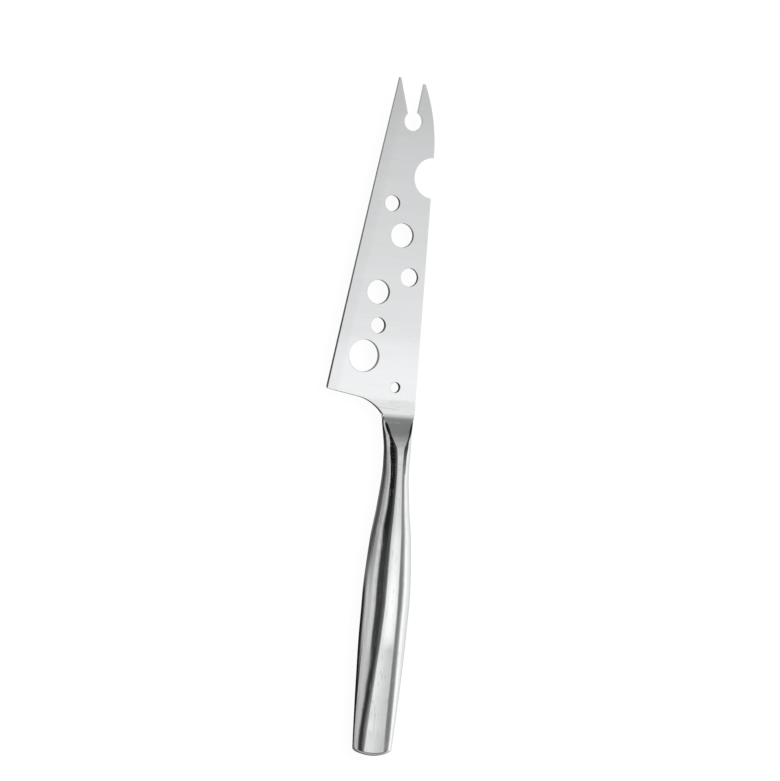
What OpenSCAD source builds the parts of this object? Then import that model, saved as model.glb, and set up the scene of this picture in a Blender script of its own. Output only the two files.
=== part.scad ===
// A cheese knife: a pierced steel blade with two prongs, forged in one with its neck and tang,
// in a hollow handle made of two pressed half shells that are welded and ground flush.
// The knife lies on its side. X runs across it, with the cutting edge towards -X, Y runs along it,
// with the prongs towards +Y, and Z is its thickness. It rests on Z = 0, centred in X and Y.

/* [Overall] */
// Length from the butt to the point of the long prong
knife_l = 280; // [250:1:330]
// Length of the handle with its neck, up to the blade
handle_l = 137; // [125:1:160]

/* [Blade] */
// Width of the blade at its heel
blade_w = 39.7; // [34:0.1:48]
// Thickness of the blade at the heel and neck
heel_t = 2.4; // [1.8:0.1:3.2]
// Thickness of the blade at the prongs
point_t = 1.2; // [1:0.1:1.8]
// How far the cutting edge bows out from a straight line
edge_bow = 0.2; // [0:0.05:2]
// Distance from the end of the handle to the corner of the heel
heel_rise = 13; // [11:0.5:18]
// Slope of the line from the heel to the neck, in degrees
heel_a = 9.5; // [6:0.5:12]
// Radius of the curve from the heel into the neck
heel_curve_r = 18.5; // [17:0.5:20]
// Distance from the spine to the start of that curve
heel_curve_x = 25.5; // [24.5:0.5:26.5]
// Rounding at the corner of the heel
heel_corner_r = 0.8; // [0.4:0.1:3]

/* [Cutting edge] */
// Width of the tapered grind along the cutting edge
grind_w = 5; // [3:0.5:8]
// Thickness of the blade where the grind meets the final bevel
grind_t = 0.9; // [0.7:0.05:1]
// Width of the final bevel
bevel_w = 0.35; // [0.2:0.05:0.6]
// Thickness left at the cutting edge
edge_t = 0.2; // [0.1:0.05:0.4]

/* [Fork] */
// Distance from the spine to the point of the long prong
long_prong_x = 18; // [16:0.1:22]
// Distance from the spine to the point of the short prong
short_prong_x = 6.1; // [5:0.1:8]
// How much shorter the short prong is
short_prong_drop = 1.8; // [0:0.1:4]
// Radius of the curve on the back of the short prong
short_prong_r = 72; // [45:1:90]
// Width of the blunted point of each prong
prong_flat = 0.9; // [0.2:0.1:1.2]
// Diameter of the round end of the gap between the prongs
keyhole_d = 7.9; // [6:0.1:9]

/* [Piercings] */
// Diameter of the round bite out of the spine
notch_d = 16.7; // [12:0.1:18]
// How far the centre of the bite lies outside the spine
notch_out = 0.4; // [0:0.1:2]
// Diameter of the two small holes
small_hole_d = 6.6; // [5:0.1:8]
// Diameter of the hole nearest the spine
spine_hole_d = 7.7; // [6:0.1:9]
// Diameter of the two large holes
large_hole_d = 10; // [8:0.1:11]
// Diameter of the largest hole, at the heel
heel_hole_d = 13.4; // [11:0.1:15]
// Diameter of the hole to hang the knife by
hang_hole_d = 4.4; // [3:0.1:5]

/* [Handle] */
// Width at the butt
butt_w = 17.2; // [15:0.1:20]
// Thickness at the butt
butt_t = 4.8; // [4:0.1:8]
// Width of the flat facet at the butt
butt_facet_w = 9; // [7:0.1:11]
// Distance from the spine line to the handle's axis at the butt
butt_x = 7.2; // [6:0.1:9]
// Width at the belly
belly_w = 20.5; // [18:0.1:26]
// Thickness at the belly
belly_t = 13.7; // [11:0.1:18]
// Width of the flat facet at the belly
belly_facet_w = 5.5; // [4:0.1:8]
// Distance from the butt to the belly
belly_y = 65; // [55:1:75]
// Width at the waist, the narrowest place
waist_w = 11.1; // [10:0.1:13]
// Thickness at the waist
waist_t = 9.4; // [7:0.1:11]
// Width of the flat facet at the waist
waist_facet_w = 2.4; // [1.5:0.1:4]
// Distance from the spine line to the handle's axis at the waist and belly
waist_x = 6.1; // [5.5:0.1:7]
// Distance from the waist to the end of the handle
waist_back = 18; // [15:0.5:22]
// Width of the neck where it meets the blade
neck_w = 14; // [12.5:0.1:15]

/* [Butt] */
// How far the butt's end bows out
butt_bow = 2.1; // [0.5:0.1:4]
// Rounding of the butt's edges
butt_round_r = 1.4; // [1.3:0.1:2]

/* [Shells and welds] */
// Wall of the handle's shells
wall_t = 1; // [0.7:0.05:1.2]
// Thickness of the weld bead between the shells
seam_t = 0.5; // [0.3:0.05:1]
// Length of the weld ring between the shells and the neck
ring_l = 1.2; // [0.8:0.1:2]

/* [Tang] */
// Length of the tang inside the handle
tang_l = 45; // [30:1:55]
// Width of the tang
tang_w = 6; // [4:0.1:7]
// Thickness of the tang
tang_t = 2.4; // [2:0.1:3]
// Diameter of the hole that keys the tang into the cement
tang_hole_d = 3; // [2:0.1:3.5]
// Length of the cement plug around the tang
cement_l = 58; // [56:1:65]
// Gap left at the bond faces of the cement
bond_gap = 0.05; // [0.02:0.01:0.1]

/* [Hidden] */
$fn = 96;
side_steps = 6;
facet_steps = 4;
body_steps = 34;
neck_steps = 16;
round_steps = 3;
edge_steps = 10;
arc_steps = 10;
cut_over = 1;

// Where the waist, the weld ring and the blade's outline begin
waist_y = handle_l - waist_back;
joint_y = waist_y + ring_l;
neck_y = joint_y + ring_l;
heel_y = handle_l + heel_rise;
blade_l = knife_l - handle_l;
neck_blend = 3;
neck_sink = 0.1;

// Along the handle: place, width, thickness, facet width and axis, as shares of the way
// from one main section to the next.
butt_to_belly_shares = [
  [0.15, 0.25, 0.11, 0.21, 0.13],
  [0.45, 0.71, 0.48, 0.50, 0.47],
  [0.78, 0.97, 0.89, 0.83, 0.75]
];
belly_to_waist_shares = [
  [0.45, 0.31, 0.25, 0.28, 0],
  [0.71, 0.72, 0.56, 0.74, 0]
];
waist_to_neck_shares = [
  [0.33, 0.13, 0.15, 0.07, 0],
  [0.65, 0.40, 0.42, 0.47, 0.55],
  [0.81, 0.76, 0.69, 0.63, 0.78]
];
neck_facet_share = 0.97;
butt_core_share = 0.9;
bow_reach_share = 5.4;

// Holes: share of the blade's length from the neck, share of its width from the spine, diameter
holes = [
  [0.636, 0.629, small_hole_d],
  [0.546, 0.395, large_hole_d],
  [0.427, 0.217, spine_hole_d],
  [0.378, 0.611, large_hole_d],
  [0.282, 0.543, small_hole_d],
  [0.192, 0.653, heel_hole_d],
  [0.107, 0.243, hang_hole_d]
];
keyhole_shares = [0.877, 0.490];
notch_share = 0.719;
heel_curve_end_a = 50;
long_throat_a = 133;
short_throat_a = 66;

function mix(a, b, share) = a + (b - a) * share;

// Main sections: place, width, thickness, facet width and axis offset
butt_row = [0, butt_w, butt_t, butt_facet_w, butt_x];
belly_row = [belly_y, belly_w, belly_t, belly_facet_w, waist_x];
waist_row = [waist_y, waist_w, waist_t, waist_facet_w, waist_x];
neck_row = [handle_l + neck_blend, neck_w, heel_t, neck_w * neck_facet_share, neck_w / 2];

function between(from, to, shares) = [for (s = shares) [for (k = [0:4]) mix(from[k], to[k], s[k])]];

rows = concat(
  [butt_row], between(butt_row, belly_row, butt_to_belly_shares),
  [belly_row], between(belly_row, waist_row, belly_to_waist_shares),
  [waist_row], between(waist_row, neck_row, waist_to_neck_shares),
  [neck_row]
);

// A smooth curve through one column of the rows, which never overshoots them
function rise(k, i) = (rows[i + 1][k] - rows[i][k]) / (rows[i + 1][0] - rows[i][0]);
function slope(k, i) =
  i == 0 ? rise(k, 0)
  : i == len(rows) - 1 ? rise(k, i - 1)
  : let (before = rise(k, i - 1), after = rise(k, i))
    before * after <= 0 ? 0 : 2 * before * after / (before + after);
function span(y, i = 0) = i >= len(rows) - 2 || y < rows[i + 1][0] ? i : span(y, i + 1);
function at(k, y) =
  let (i = span(y), gap = rows[i + 1][0] - rows[i][0], t = (y - rows[i][0]) / gap)
  rows[i][k] * (1 + 2 * t) * pow(1 - t, 2) + rows[i + 1][k] * t * t * (3 - 2 * t)
  + gap * t * (1 - t) * (slope(k, i) * (1 - t) - slope(k, i + 1) * t);

// One section is an ellipse with a flat facet across its top. These are the points of its upper
// half, from +X to -X, that lie above low: inset moves it inwards, as a wall does.
function upper_half(y, inset, low) =
  let (
    full = at(1, y) / 2, a = full - inset, h = at(2, y) / 2 - inset,
    flat = at(3, y) / 2 * a / full, b = h / sqrt(1 - pow(flat / a, 2)),
    from = asin(low / b), to = asin(h / b),
    side = [for (j = [0:side_steps]) let (t = mix(from, to, j / side_steps)) [a * cos(t), b * sin(t)]],
    top = [for (j = [1:facet_steps - 1]) [flat * (1 - 2 * j / facet_steps), h]],
    other = [for (j = [side_steps:-1:0]) [-side[j][0], side[j][1]]]
  )
  concat(side, top, other);

// The butt's end bows out, and the bow fades away towards the belly
bow_reach = butt_bow * bow_reach_share;
function bowed(x, y) = y + butt_bow * pow(max(0, 1 - y / bow_reach), 2) * pow(2 * x / butt_w, 2);
function placed(section, y) = [for (p = section) [p[0] - at(4, y), bowed(p[0], y), p[1]]];
function backwards(list) = [for (i = [len(list) - 1:-1:0]) list[i]];
function half_ring(y, inset, low) = placed(backwards(upper_half(y, inset, low)), y);
function full_ring(y, inset) =
  let (upper = upper_half(y, inset, 0), last = len(upper) - 1)
  placed(concat(upper, [for (j = [last - 1:-1:1]) [upper[j][0], -upper[j][1]]]), y);

// Rows of points over one half shell, from -X to +X: along the body to the butt, round its edge,
// then across its end. The inner skin has the same rows, one wall further in.
function shell_skin(wall) =
  let (
    low = seam_t / 2, r = butt_round_r - wall, end = half_ring(wall, butt_round_r, low),
    axis = at(4, wall),
    core = [for (p = end) [
      mix(-axis, p[0], butt_core_share),
      bowed((p[0] + axis) * butt_core_share, wall),
      low
    ]],
    edge = [for (i = [round_steps - 1:-1:0]) let (t = 90 * i / round_steps)
      half_ring(butt_round_r - r * cos(t), butt_round_r - r * sin(t), low)],
    body = [for (i = [0:body_steps]) half_ring(mix(joint_y, butt_round_r, i / body_steps), wall, low)]
  )
  concat(body, edge, [core]);

outer_skin = shell_skin(0);
inner_skin = shell_skin(wall_t);

// The blade's outline
heel_curve_centre = [-heel_curve_x, heel_y - (blade_w - heel_curve_x) * tan(heel_a)]
  - heel_curve_r * [sin(heel_a), cos(heel_a)];
short_point_y = knife_l - short_prong_drop;
back_curve_y = short_point_y - sqrt(pow(short_prong_r, 2) - pow(short_prong_r - short_prong_x, 2));

function edge_x(y) =
  let (t = (y - heel_y) / (knife_l - heel_y))
  -mix(blade_w, long_prong_x, t) - 4 * edge_bow * t * (1 - t);
function half_t(y) = mix(heel_t, point_t, (y - handle_l) / blade_l) / 2;
function hole_at(share_y, share_x) =
  let (y = handle_l + blade_l * share_y) [edge_x(y) * share_x, y];
function on_circle(centre, r, a) = centre + r * [cos(a), sin(a)];

keyhole = hole_at(keyhole_shares[0], keyhole_shares[1]);
heel_curve_end = on_circle(heel_curve_centre, heel_curve_r, 90 - heel_curve_end_a);
root_y = min(heel_curve_end[1], handle_l + neck_blend) - neck_sink;
heel_top = [edge_x(heel_y + heel_corner_r), heel_y + heel_corner_r];
heel_tip = [-blade_w, heel_y];
heel_bottom = heel_tip + heel_corner_r * [cos(heel_a), -sin(heel_a)];
heel_arc = [for (i = [0:arc_steps]) let (t = i / arc_steps)
  pow(1 - t, 2) * heel_top + 2 * t * (1 - t) * heel_tip + t * t * heel_bottom];
fillet_arc = [for (i = [0:arc_steps])
  on_circle(heel_curve_centre, heel_curve_r, 90 - mix(heel_a, heel_curve_end_a, i / arc_steps))];
back_arc = [for (i = [0:arc_steps])
  let (y = mix(back_curve_y, short_point_y, i / arc_steps))
  [sqrt(pow(short_prong_r, 2) - pow(y - back_curve_y, 2)) - short_prong_r, y]];
edge_points = [for (i = [0:edge_steps - 1])
  let (y = mix(knife_l, heel_top[1], i / edge_steps)) [edge_x(y), y]];
outline = concat(
  [[0, root_y]],
  back_arc,
  [[-short_prong_x - prong_flat, short_point_y]],
  [on_circle(keyhole, keyhole_d / 2, short_throat_a), keyhole],
  [on_circle(keyhole, keyhole_d / 2, long_throat_a)],
  [[prong_flat - long_prong_x, knife_l]],
  edge_points,
  heel_arc,
  fillet_arc,
  [[heel_curve_end[0], root_y]]
);

// The middle of the knife's box, which goes to the origin
x_low = min([for (p = outline) p[0]]);
x_high = max([for (ring = outer_skin) for (p = ring) p[0]]);
z_high = max([for (ring = outer_skin) for (p = ring) p[2]]);
seat = [-(x_low + x_high) / 2, -knife_l / 2, z_high];

// Faces between rows of points. A closed row joins its last point to its first.
function halves(q) = [[q[0], q[1], q[2]], [q[0], q[2], q[3]]];
function strip(count, n, closed, start = 0) = [
  for (i = [0:count - 2]) for (j = [0:n - (closed ? 1 : 2)])
    let (k = (j + 1) % n, p = start + i * n)
    each halves([p + j, p + k, p + n + k, p + n + j])
];
function flipped(faces) = [for (f = faces) backwards(f)];
function joined(rings) = [for (ring = rings) each ring];

// A solid through closed rings of points, with flat ends
module loft(rings) {
  n = len(rings[0]);
  last = (len(rings) - 1) * n;
  polyhedron(
    joined(rings),
    concat(strip(len(rings), n, true), [[for (j = [n - 1:-1:0]) j], [for (j = [0:n - 1]) last + j]])
  );
}

// A wall between an outer and an inner skin of the same rows, open or closed across each row
module wall(outer, inner, closed) {
  n = len(outer[0]);
  m = len(outer);
  other = n * m;
  last = other - n;
  ends = [for (j = [0:n - (closed ? 1 : 2)]) let (k = (j + 1) % n) each concat(
    halves([k, j, other + j, other + k]),
    halves([last + j, last + k, other + last + k, other + last + j])
  )];
  sides = closed ? [] : [for (i = [0:m - 2]) let (p = i * n, q = p + n) each concat(
    halves([p, q, other + q, other + p]),
    halves([q + n - 1, p + n - 1, other + p + n - 1, other + q + n - 1])
  )];
  polyhedron(
    concat(joined(outer), joined(inner)),
    concat(strip(m, n, closed), flipped(strip(m, n, closed, other)), ends, sides)
  );
}

// What the grind and the bevel take off one face, along the whole cutting edge
module edge_cut() {
  steps = [for (i = [-1:edge_steps + 1]) mix(heel_y, knife_l, i / edge_steps)];
  rings = [for (y = steps)
    let (
      x = edge_x(y), bevel_slope = (grind_t - edge_t) / 2 / bevel_w,
      grind_slope = (half_t(y) - grind_t / 2) / (grind_w - bevel_w)
    ) [
      [x + bevel_w, y, grind_t / 2],
      [x + grind_w + cut_over, y, half_t(y) + cut_over * grind_slope],
      [x + grind_w + cut_over, y, heel_t],
      [x - cut_over, y, heel_t],
      [x - cut_over, y, edge_t / 2 - cut_over * bevel_slope]
    ]];
  loft(rings);
}

// The flat of the blade, which thins towards the prongs
module plate() {
  difference() {
    intersection() {
      translate([0, 0, -heel_t / 2]) linear_extrude(heel_t) polygon(outline);
      translate([x_low - cut_over, 0, 0]) rotate([90, 0, 90])
        linear_extrude(cut_over - x_low + cut_over)
          polygon([
            [handle_l, -half_t(handle_l)], [knife_l + cut_over, -half_t(knife_l + cut_over)],
            [knife_l + cut_over, half_t(knife_l + cut_over)], [handle_l, half_t(handle_l)]
          ]);
    }
    for (hole = holes)
      translate([each hole_at(hole[0], hole[1]), -heel_t]) cylinder(d = hole[2], h = 2 * heel_t);
    translate([each keyhole, -heel_t]) cylinder(d = keyhole_d, h = 2 * heel_t);
    translate([notch_out, handle_l + blade_l * notch_share, -heel_t])
      cylinder(d = notch_d, h = 2 * heel_t);
    edge_cut();
    mirror([0, 0, 1]) edge_cut();
  }
}

// The neck swells from the flat of the blade to the section of the handle
module neck() {
  top_y = handle_l + neck_blend;
  rings = concat(
    [for (i = [0:neck_steps]) full_ring(mix(neck_y, top_y, i / neck_steps), 0)],
    [[for (p = full_ring(top_y, neck_sink)) p + [0, neck_blend, 0]]]
  );
  loft(rings);
}

module tang_bar(grow) {
  width = tang_w + 2 * grow;
  thickness = tang_t + 2 * grow;
  translate([-waist_x - width / 2, neck_y - tang_l - grow, -thickness / 2])
    cube([width, tang_l + grow + cut_over, thickness]);
}

module tang_key(d) {
  translate([-waist_x, neck_y - tang_l + 2 * tang_hole_d, -tang_t]) cylinder(d = d, h = 2 * tang_t);
}

module blade() {
  color("gainsboro") translate(seat) {
    plate();
    neck();
    difference() {
      tang_bar(0);
      tang_key(tang_hole_d);
    }
  }
}

module handle_front_shell() {
  color("silver") translate(seat) wall(outer_skin, inner_skin, false);
}

module handle_back_shell() {
  color("silver") translate(seat) mirror([0, 0, 1]) wall(outer_skin, inner_skin, false);
}

// The path of the shells' rim in the knife's plane, down one side, round the butt and back
function rim(skin) =
  let (last = len(skin) - 1, n = len(skin[0]))
  concat(
    [for (i = [0:last - 1]) [skin[i][0][0], skin[i][0][1]]],
    [for (p = skin[last]) [p[0], p[1]]],
    [for (i = [last - 1:-1:0]) [skin[i][n - 1][0], skin[i][n - 1][1]]]
  );

module seam_weld() {
  color("darkgray") translate(seat) translate([0, 0, -seam_t / 2])
    linear_extrude(seam_t)
      polygon(concat(rim(outer_skin), backwards(rim(inner_skin))));
}

module neck_weld() {
  ends = [joint_y, neck_y];
  color("darkgray") translate(seat)
    wall([for (y = ends) full_ring(y, 0)], [for (y = ends) full_ring(y, wall_t)], true);
}

module tang_cement() {
  front_y = neck_y - bond_gap;
  rings = [for (i = [0:neck_steps])
    full_ring(mix(front_y - cement_l, front_y, i / neck_steps), wall_t + bond_gap)];
  color("tan") translate(seat) difference() {
    loft(rings);
    difference() {
      tang_bar(bond_gap);
      tang_key(tang_hole_d - 2 * bond_gap);
    }
  }
}

blade();
handle_front_shell();
handle_back_shell();
seam_weld();
neck_weld();
tang_cement();
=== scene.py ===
from collections import Counter
from math import cos, degrees, hypot, pi, radians, sin, sqrt, tan

import bmesh
import bpy
from mathutils import Matrix, Vector
from mathutils.geometry import delaunay_2d_cdt


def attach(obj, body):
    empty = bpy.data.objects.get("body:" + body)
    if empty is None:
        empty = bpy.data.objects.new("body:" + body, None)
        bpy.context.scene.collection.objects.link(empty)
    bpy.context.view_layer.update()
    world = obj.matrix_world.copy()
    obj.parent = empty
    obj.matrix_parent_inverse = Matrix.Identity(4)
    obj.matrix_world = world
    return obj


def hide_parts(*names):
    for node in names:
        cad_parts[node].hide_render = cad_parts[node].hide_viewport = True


# The knife lies on its back: X across it, cutting edge towards -X, Y along it with the prongs at
# +Y, Z through its thickness. The knife's sizes are in millimetres, measured from the spine line,
# the butt and the knife's middle plane. seat moves them to the frame.
seat = Vector((17.7229, -140.0, 6.84816))
mm = 0.001

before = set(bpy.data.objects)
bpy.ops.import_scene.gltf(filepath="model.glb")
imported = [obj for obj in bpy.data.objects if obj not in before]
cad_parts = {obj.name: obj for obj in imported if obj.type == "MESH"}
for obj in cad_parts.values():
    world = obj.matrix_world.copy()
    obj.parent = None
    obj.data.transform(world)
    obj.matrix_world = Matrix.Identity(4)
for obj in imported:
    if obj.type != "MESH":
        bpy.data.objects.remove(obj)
scene = bpy.context.scene
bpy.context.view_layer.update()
print("stage: frame loaded")


def placed(x, y, z):
    return (Vector((x, y, z)) + seat) * mm


def mix(a, b, share):
    return a + (b - a) * share


def clamp(value, low=0.0, high=1.0):
    return max(low, min(high, value))


def smooth(value, low, high):
    t = clamp((value - low) / (high - low))
    return t * t * (3 - 2 * t)


# Which stretch of a rising list of places holds a value
def stretchAt(places, value):
    return max(i for i in range(len(places) - 1) if i == 0 or places[i] < value)


# What a table gives at a place: a number, or a list of them, which changes evenly between rows
def between(table, place):
    i = stretchAt([row[0] for row in table], place)
    (low, a), (high, b) = table[i:i + 2]
    share = clamp((place - low) / (high - low))
    return [mix(x, y, share) for x, y in zip(a, b)] if isinstance(a, list) else mix(a, b, share)


def operator(name, swapped=False):
    def apply(self, other):
        return self.graph.maths(name, *((other, self) if swapped else (self, other)))
    return apply


# A Link carries a socket, so that node maths reads as plain expressions
class Link:
    def __init__(self, graph, socket):
        self.graph = graph
        self.socket = socket

    __add__, __radd__ = operator("ADD"), operator("ADD", True)
    __sub__, __rsub__ = operator("SUBTRACT"), operator("SUBTRACT", True)
    __mul__, __rmul__ = operator("MULTIPLY"), operator("MULTIPLY", True)
    __truediv__, __rtruediv__ = operator("DIVIDE"), operator("DIVIDE", True)


class Graph:
    def __init__(self, tree):
        self.tree = tree

    def node(self, kind, sockets=None, **settings):
        made = self.tree.nodes.new(kind)
        for name, value in settings.items():
            if name == "points":
                self.setPoints(made.mapping, value)
            else:
                setattr(made, name, value)
        for key, value in (sockets or {}).items():
            if isinstance(value, Link):
                self.tree.links.new(value.socket, made.inputs[key])
            else:
                made.inputs[key].default_value = value
        return made

    def link(self, kind, sockets=None, out=0, **settings):
        return Link(self, self.node(kind, sockets, **settings).outputs[out])

    def maths(self, operation, *values):
        return self.link("ShaderNodeMath", dict(enumerate(values)), operation=operation)

    def vectors(self, operation, *values):
        return self.link("ShaderNodeVectorMath", dict(enumerate(values)), operation=operation)

    def parts(self, vector):
        made = self.node("ShaderNodeSeparateXYZ", {0: vector})
        return [Link(self, socket) for socket in made.outputs]

    def limited(self, value):
        return self.link("ShaderNodeClamp", {0: value})

    def eased(self, value, low, high):
        return self.link("ShaderNodeMapRange", {0: value, 1: low, 2: high},
                         interpolation_type="SMOOTHSTEP")

    def setPoints(self, mapping, points):
        curve = mapping.curves[0]
        while len(curve.points) > 2:
            curve.points.remove(curve.points[1])
        curve.points[0].location = points[0]
        curve.points[1].location = points[-1]
        for point in points[1:-1]:
            curve.points.new(*point)
        for point in curve.points:
            point.handle_type = "AUTO_CLAMPED"
        mapping.update()


# The handle's section, by the same rule as in the part's source. A row holds the place along the
# knife, the width, the thickness, the facet's width and how far the axis is from the spine line.
# The shares give further rows between two of them, each value as a part of the way.
handle = {
    "joint": 120.2, "neck": 121.4, "top": 140.0,
    "rows": [
        (0.0, 17.2, 4.8, 9.0, 7.2),
        (65.0, 20.5, 13.7, 5.5, 6.1),
        (119.0, 11.1, 9.4, 2.4, 6.1),
        (140.0, 14.0, 2.4, 14.0 * 0.97, 7.0),
    ],
    "shares": [
        [(0.15, 0.25, 0.11, 0.21, 0.13), (0.45, 0.71, 0.48, 0.50, 0.47),
         (0.78, 0.97, 0.89, 0.83, 0.75)],
        [(0.45, 0.31, 0.25, 0.28, 0.0), (0.71, 0.72, 0.56, 0.74, 0.0)],
        [(0.33, 0.13, 0.15, 0.045, 0.0), (0.65, 0.40, 0.42, 0.47, 0.55),
         (0.81, 0.76, 0.69, 0.63, 0.78)],
    ],
    "seam": 0.5, "wall": 1.0, "curveEnd": 143.0, "curvePoints": 72, "sink": 0.1,
    "neckRows": 72, "ringRows": 4, "endSteps": 24, "creaseGather": 1.5, "facetGather": 0.4,
    "crownFrom": 116.0, "crownTo": 128.0, "tiny": 0.001, "weld": 0.0001,
}
# Further sizes and counts, by the names of the inputs of the handle's tree
section = {"Butt Round": 1.4, "Butt Width": 17.2, "Bow": 2.1, "Bow Reach": 2.1 * 5.4,
           "Core Share": 0.9, "Crown": 0.025, "Side Columns": 26, "Facet Columns": 12,
           "Cap Rows": 5, "Round Rows": 10, "Body Rows": 240}
# The section's curves: which column of the rows they hold, and what 1 on the curve stands for
sectionCurves = {"Width": (1, 20.8), "Thickness": (2, 13.7), "Facet": (3, 14.0), "Axis": (4, 7.2)}


def sectionRows():
    rows = []
    for first, last, shares in zip(handle["rows"], handle["rows"][1:], handle["shares"]):
        rows.append(first)
        rows += [tuple(mix(a, b, s) for a, b, s in zip(first, last, share)) for share in shares]
    return rows + [handle["rows"][-1]]


def along(column, y):
    rows = sectionRows()
    rises = [(b[column] - a[column]) / (b[0] - a[0]) for a, b in zip(rows, rows[1:])]
    slopes = [rises[0]]
    for before, after in zip(rises, rises[1:]):
        slopes.append(0.0 if before * after <= 0 else 2 * before * after / (before + after))
    slopes.append(rises[-1])
    i = stretchAt([row[0] for row in rows], y)
    gap = rows[i + 1][0] - rows[i][0]
    t = (y - rows[i][0]) / gap
    ends = rows[i][column] * (1 + 2 * t) * (1 - t) ** 2 + rows[i + 1][column] * t * t * (3 - 2 * t)
    return ends + gap * t * (1 - t) * (slopes[i] * (1 - t) - slopes[i + 1] * t)


socketKinds = {float: "NodeSocketFloat", int: "NodeSocketInt", bool: "NodeSocketBool"}


# The inputs give a default value by name, or the kind of socket where there is no default
def newGeometryTree(name, inputs):
    tree = bpy.data.node_groups.new(name, "GeometryNodeTree")
    tree.interface.new_socket(name="Geometry", in_out="OUTPUT", socket_type="NodeSocketGeometry")
    keys = {}
    for label, value in inputs.items():
        kind = socketKinds.get(type(value), value)
        socket = tree.interface.new_socket(name=label, in_out="INPUT", socket_type=kind)
        if kind != value:
            socket.default_value = value
        keys[label] = socket.identifier
    graph = Graph(tree)
    given = graph.node("NodeGroupInput")
    return graph, keys, {label: Link(graph, given.outputs[label]) for label in inputs}


def finishTree(graph, geometry, material):
    whole = graph.link("GeometryNodeRealizeInstances", {0: geometry})
    dressed = graph.link("GeometryNodeSetMaterial", {0: whole, 2: material})
    end = graph.node("NodeGroupOutput")
    graph.tree.links.new(dressed.socket, end.inputs[0])


# A section size along the handle, as a curve over its length that a user can pull about
def sectionCurve(graph, given, label, y):
    column, scale = sectionCurves[label]
    span, count = handle["curveEnd"], handle["curvePoints"]
    places = [span * i / count for i in range(count + 1)]
    values = [along(column, min(p, handle["top"])) for p in places]
    if label in ("Width", "Thickness"):  # the neck's end sinks into the blade
        values[-1] -= 2 * handle["sink"]
    points = [(p / span, v / scale) for p, v in zip(places, values)]
    curve = graph.link("ShaderNodeFloatCurve", {0: 1.0, 1: y / span}, points=points)
    return curve * given[label]


def buildHandleTree():
    graph, keys, g = newGeometryTree("handleSection", {
        "Start": 0.0, "End": handle["joint"],
        **{label: scale for label, (_, scale) in sectionCurves.items()},
        "Seam Half": handle["seam"] / 2, **section,
        "Back": False, "Whole Ring": False, "Material": "NodeSocketMaterial",
    })
    columns = g["Side Columns"] * 2 + g["Facet Columns"]
    rows = g["Cap Rows"] + g["Round Rows"] + g["Body Rows"]
    grid = graph.link("GeometryNodeMeshGrid", {0: 1.0, 1: 1.0, 2: columns + 1, 3: rows + 1})
    column, row, _ = graph.parts(graph.link("GeometryNodeInputPosition"))
    column = (column + 0.5) * columns
    row = (row + 0.5) * rows

    # Rows: over the end of the butt, round its edge, then along the body
    tiny = handle["tiny"]
    capShare = graph.limited((row + tiny) / (g["Cap Rows"] + tiny))
    turn = graph.limited((row - g["Cap Rows"] + tiny) / (g["Round Rows"] + tiny)) * (pi / 2)
    bodyShare = graph.limited((row - g["Cap Rows"] - g["Round Rows"]) / g["Body Rows"])
    inset = g["Butt Round"] * (1 - graph.maths("SINE", turn))
    y = (g["Start"] + g["Butt Round"] * (1 - graph.maths("COSINE", turn))
         + bodyShare * (g["End"] - g["Start"] - g["Butt Round"]))

    # Section: an ellipse cut off by a flat facet, with columns gathered at the facet's edges
    full = sectionCurve(graph, g, "Width", y) * 0.5
    across = full - inset
    height = sectionCurve(graph, g, "Thickness", y) * 0.5 - inset
    flat = sectionCurve(graph, g, "Facet", y) * 0.5 * across / full
    ratio = flat / across
    rise = height / graph.maths("SQRT", 1 - ratio * ratio)
    low = graph.maths("ARCSINE", g["Seam Half"] / rise)
    high = graph.maths("ARCSINE", height / rise)
    near = graph.limited(column / g["Side Columns"])
    far = graph.limited((columns - column) / g["Side Columns"])
    side = graph.maths("MINIMUM", near, far)
    side = 1 - graph.maths("POWER", 1 - side, handle["creaseGather"])
    over = graph.limited((column - g["Side Columns"]) / g["Facet Columns"])
    wave = graph.maths("SINE", over * (2 * pi))
    over = over - wave * (handle["facetGather"] / (2 * pi))
    angle = low + (high - low) * side
    facetPlace = 1 - 2 * over
    x = across * graph.maths("COSINE", angle) * facetPlace
    crownFade = graph.eased(y, handle["crownTo"], handle["crownFrom"])
    crown = g["Crown"] * flat * (1 - facetPlace * facetPlace) * crownFade
    z = rise * graph.maths("SINE", angle) + crown * graph.maths("GREATER_THAN", over, 0.0)
    x = x * (g["Core Share"] + (1 - g["Core Share"]) * capShare)
    z = g["Seam Half"] + (z - g["Seam Half"]) * capShare

    # The butt's end bows out, and the bow fades towards the belly
    fade = graph.maths("MAXIMUM", 1 - y / g["Bow Reach"], 0.0)
    reach = x * 2 / g["Butt Width"]
    bowed = y + g["Bow"] * fade * fade * reach * reach
    axis = sectionCurve(graph, g, "Axis", y)
    spot = graph.link("ShaderNodeCombineXYZ", {0: x - axis, 1: bowed, 2: z})
    front = graph.link("GeometryNodeSetPosition", {0: grid, 2: spot})
    mirrored = graph.link("GeometryNodeTransform", {0: front, "Scale": (1.0, 1.0, -1.0)})
    back = graph.link("GeometryNodeFlipFaces", {0: mirrored})
    both = graph.node("GeometryNodeJoinGeometry")
    for half in (back, front):
        graph.tree.links.new(half.socket, both.inputs[0])
    ring = graph.link("GeometryNodeMergeByDistance",
                      {0: Link(graph, both.outputs[0]), "Distance": handle["weld"]})
    chosen = front
    for label, other in (("Back", back), ("Whole Ring", ring)):
        chosen = graph.link("GeometryNodeSwitch", {0: g[label], 1: chosen, 2: other},
                            input_type="GEOMETRY")
    seated = graph.link("GeometryNodeTransform",
                        {0: chosen, "Translation": seat * mm, "Scale": (mm, mm, mm)})
    finishTree(graph, seated, g["Material"])
    return graph.tree, keys


def newObject(name, data):
    made = bpy.data.objects.new(name, data)
    scene.collection.objects.link(made)
    return made


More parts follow.
